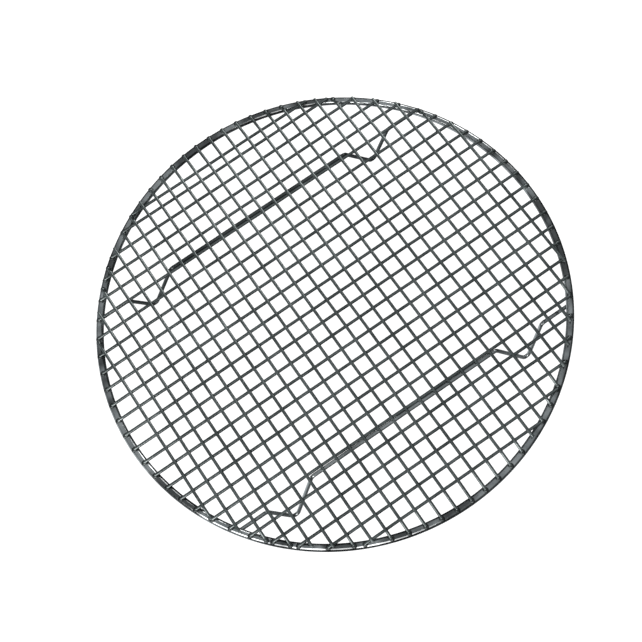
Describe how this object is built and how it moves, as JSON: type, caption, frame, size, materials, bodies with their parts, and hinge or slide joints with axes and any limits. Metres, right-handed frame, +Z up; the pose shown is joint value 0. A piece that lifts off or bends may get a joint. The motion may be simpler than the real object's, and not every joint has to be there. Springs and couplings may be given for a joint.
{
  "type": "cooling rack",
  "caption": "Round wire cooling rack: a square mesh of thin wires welded over a thick wire rim, standing on V-shaped feet bent from two leg wires.",
  "frame": {"origin": "middle of the rim, on the surface that the feet stand on", "axes": "+X along the leg wires and the long wires, +Y along the cross wires towards the narrow row of cells, +Z up"},
  "size_m": [0.305, 0.305, 0.044],
  "materials": {
    "rim_chrome": "bright chrome plate on thick steel wire",
    "leg_chrome": "chrome plate on steel wire, a little darker than the rim",
    "mesh_chrome": "dark, slightly dull plate on thin steel wire"
  },
  "bodies": {
    "root": {"rim": "rim_chrome", "leg_wire_front": "leg_chrome", "leg_wire_back": "leg_chrome", "long_wire_1": "mesh_chrome", "long_wire_2": "mesh_chrome", "long_wire_3": "mesh_chrome", "long_wire_4": "mesh_chrome", "long_wire_5": "mesh_chrome", "long_wire_6": "mesh_chrome", "long_wire_7": "mesh_chrome", "long_wire_8": "mesh_chrome", "long_wire_9": "mesh_chrome", "long_wire_10": "mesh_chrome", "long_wire_11": "mesh_chrome", "long_wire_12": "mesh_chrome", "long_wire_13": "mesh_chrome", "long_wire_14": "mesh_chrome", "long_wire_15": "mesh_chrome", "long_wire_16": "mesh_chrome", "long_wire_17": "mesh_chrome", "long_wire_18": "mesh_chrome", "long_wire_19": "mesh_chrome", "long_wire_20": "mesh_chrome", "long_wire_21": "mesh_chrome", "long_wire_22": "mesh_chrome", "long_wire_23": "mesh_chrome", "long_wire_24": "mesh_chrome", "long_wire_25": "mesh_chrome", "long_wire_26": "mesh_chrome", "cross_wire_1": "mesh_chrome", "cross_wire_2": "mesh_chrome", "cross_wire_3": "mesh_chrome", "cross_wire_4": "mesh_chrome", "cross_wire_5": "mesh_chrome", "cross_wire_6": "mesh_chrome", "cross_wire_7": "mesh_chrome", "cross_wire_8": "mesh_chrome", "cross_wire_9": "mesh_chrome", "cross_wire_10": "mesh_chrome", "cross_wire_11": "mesh_chrome", "cross_wire_12": "mesh_chrome", "cross_wire_13": "mesh_chrome", "cross_wire_14": "mesh_chrome", "cross_wire_15": "mesh_chrome", "cross_wire_16": "mesh_chrome", "cross_wire_17": "mesh_chrome", "cross_wire_18": "mesh_chrome", "cross_wire_19": "mesh_chrome", "cross_wire_20": "mesh_chrome", "cross_wire_21": "mesh_chrome", "cross_wire_22": "mesh_chrome", "cross_wire_23": "mesh_chrome", "cross_wire_24": "mesh_chrome", "cross_wire_25": "mesh_chrome", "cross_wire_26": "mesh_chrome", "cross_wire_27": "mesh_chrome"}
  },
  "joints": []
}
